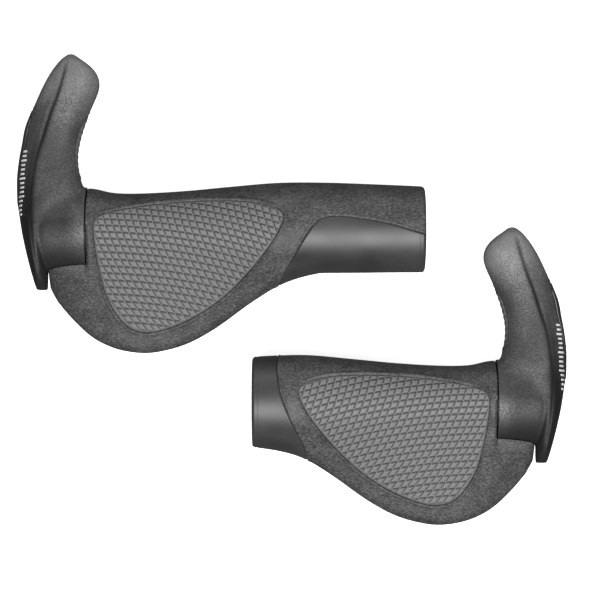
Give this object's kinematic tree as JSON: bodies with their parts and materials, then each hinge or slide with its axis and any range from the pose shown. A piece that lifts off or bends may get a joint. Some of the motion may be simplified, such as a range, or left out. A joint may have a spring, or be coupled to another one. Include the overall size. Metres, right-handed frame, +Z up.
{
  "type": "bar end grips",
  "caption": "Pair of ergonomic handlebar grips with palm wings, inlaid textured pads and curved bar ends clamped on by a split collar and bolt.",
  "frame": {"origin": "Middle of the pair's bounding box in plan, on the table that the grips lie on.", "axes": "+X runs along both bars' axes, from the left grip's bar end to the right grip's; +Y is forward, the way the bar ends point; +Z is up."},
  "size_m": [0.2128, 0.1806, 0.038],
  "materials": {
    "body_rubber": "matte dark grey rubber with a fine grain along the bar",
    "pad_rubber": "mid grey soft rubber with a hound's-tooth relief",
    "smooth_rubber": "satin smooth dark grey rubber",
    "core_plastic": "black glass-filled nylon",
    "bar_end_composite": "dark grey composite with a fine matte spark texture",
    "badge_plastic": "smooth black plastic with plain pale tick marks",
    "bolt_steel": "black oxide steel",
    "insert_brass": "turned brass"
  },
  "bodies": {
    "left_grip": {"left_grip_core": "core_plastic", "left_grip_body": "body_rubber", "left_palm_pad": "pad_rubber", "left_finger_pad": "pad_rubber", "left_end_panel": "smooth_rubber"},
    "left_bar_end_assembly": {"left_bar_end": "bar_end_composite", "left_bar_end_pad": "pad_rubber", "left_bar_end_badge": "badge_plastic", "left_clamp_insert": "insert_brass"},
    "left_washer": {"left_clamp_washer": "bolt_steel"},
    "left_bolt": {"left_clamp_bolt": "bolt_steel"},
    "right_grip": {"right_grip_core": "core_plastic", "right_grip_body": "body_rubber", "right_palm_pad": "pad_rubber", "right_finger_pad": "pad_rubber", "right_end_panel": "smooth_rubber"},
    "right_bar_end_assembly": {"right_bar_end": "bar_end_composite", "right_bar_end_pad": "pad_rubber", "right_bar_end_badge": "badge_plastic", "right_clamp_insert": "insert_brass"},
    "right_washer": {"right_clamp_washer": "bolt_steel"},
    "right_bolt": {"right_clamp_bolt": "bolt_steel"}
  },
  "joints": [
    {"name": "pair_spread", "type": "slide", "parent": "left_grip", "child": "right_grip", "axis": [1, 0, 0], "range_m": [0, 0.12]},
    {"name": "left_bar_end_turn", "type": "hinge", "parent": "left_grip", "child": "left_bar_end_assembly", "pos_m": [-0.0867, 0.0241, 0.0168], "axis": [1, 0, 0], "range_deg": [0, 40]},
    {"name": "left_washer_slide", "type": "slide", "parent": "left_bar_end_assembly", "child": "left_washer", "axis": [0, -0.342, -0.9397], "range_m": [0, 0.001]},
    {"name": "left_bolt_turn", "type": "hinge", "parent": "left_washer", "child": "left_bolt", "pos_m": [-0.08758, 0.0412, 0.01057], "axis": [0, -0.342, -0.9397], "range_deg": [0, 450.1]},
    {"name": "right_bar_end_turn", "type": "hinge", "parent": "right_grip", "child": "right_bar_end_assembly", "pos_m": [0.0867, -0.043, 0.0168], "axis": [1, 0, 0], "range_deg": [0, 40]},
    {"name": "right_washer_slide", "type": "slide", "parent": "right_bar_end_assembly", "child": "right_washer", "axis": [0, -0.342, -0.9397], "range_m": [0, 0.001]},
    {"name": "right_bolt_turn", "type": "hinge", "parent": "right_washer", "child": "right_bolt", "pos_m": [0.08758, -0.0259, 0.01057], "axis": [0, -0.342, -0.9397], "range_deg": [0, 450.1]}
  ],
  "couplings": [
    {"joint": "left_bolt_turn", "follows": "left_washer_slide", "rad_per_m": 7854},
    {"joint": "right_bolt_turn", "follows": "right_washer_slide", "rad_per_m": 7854}
  ]
}
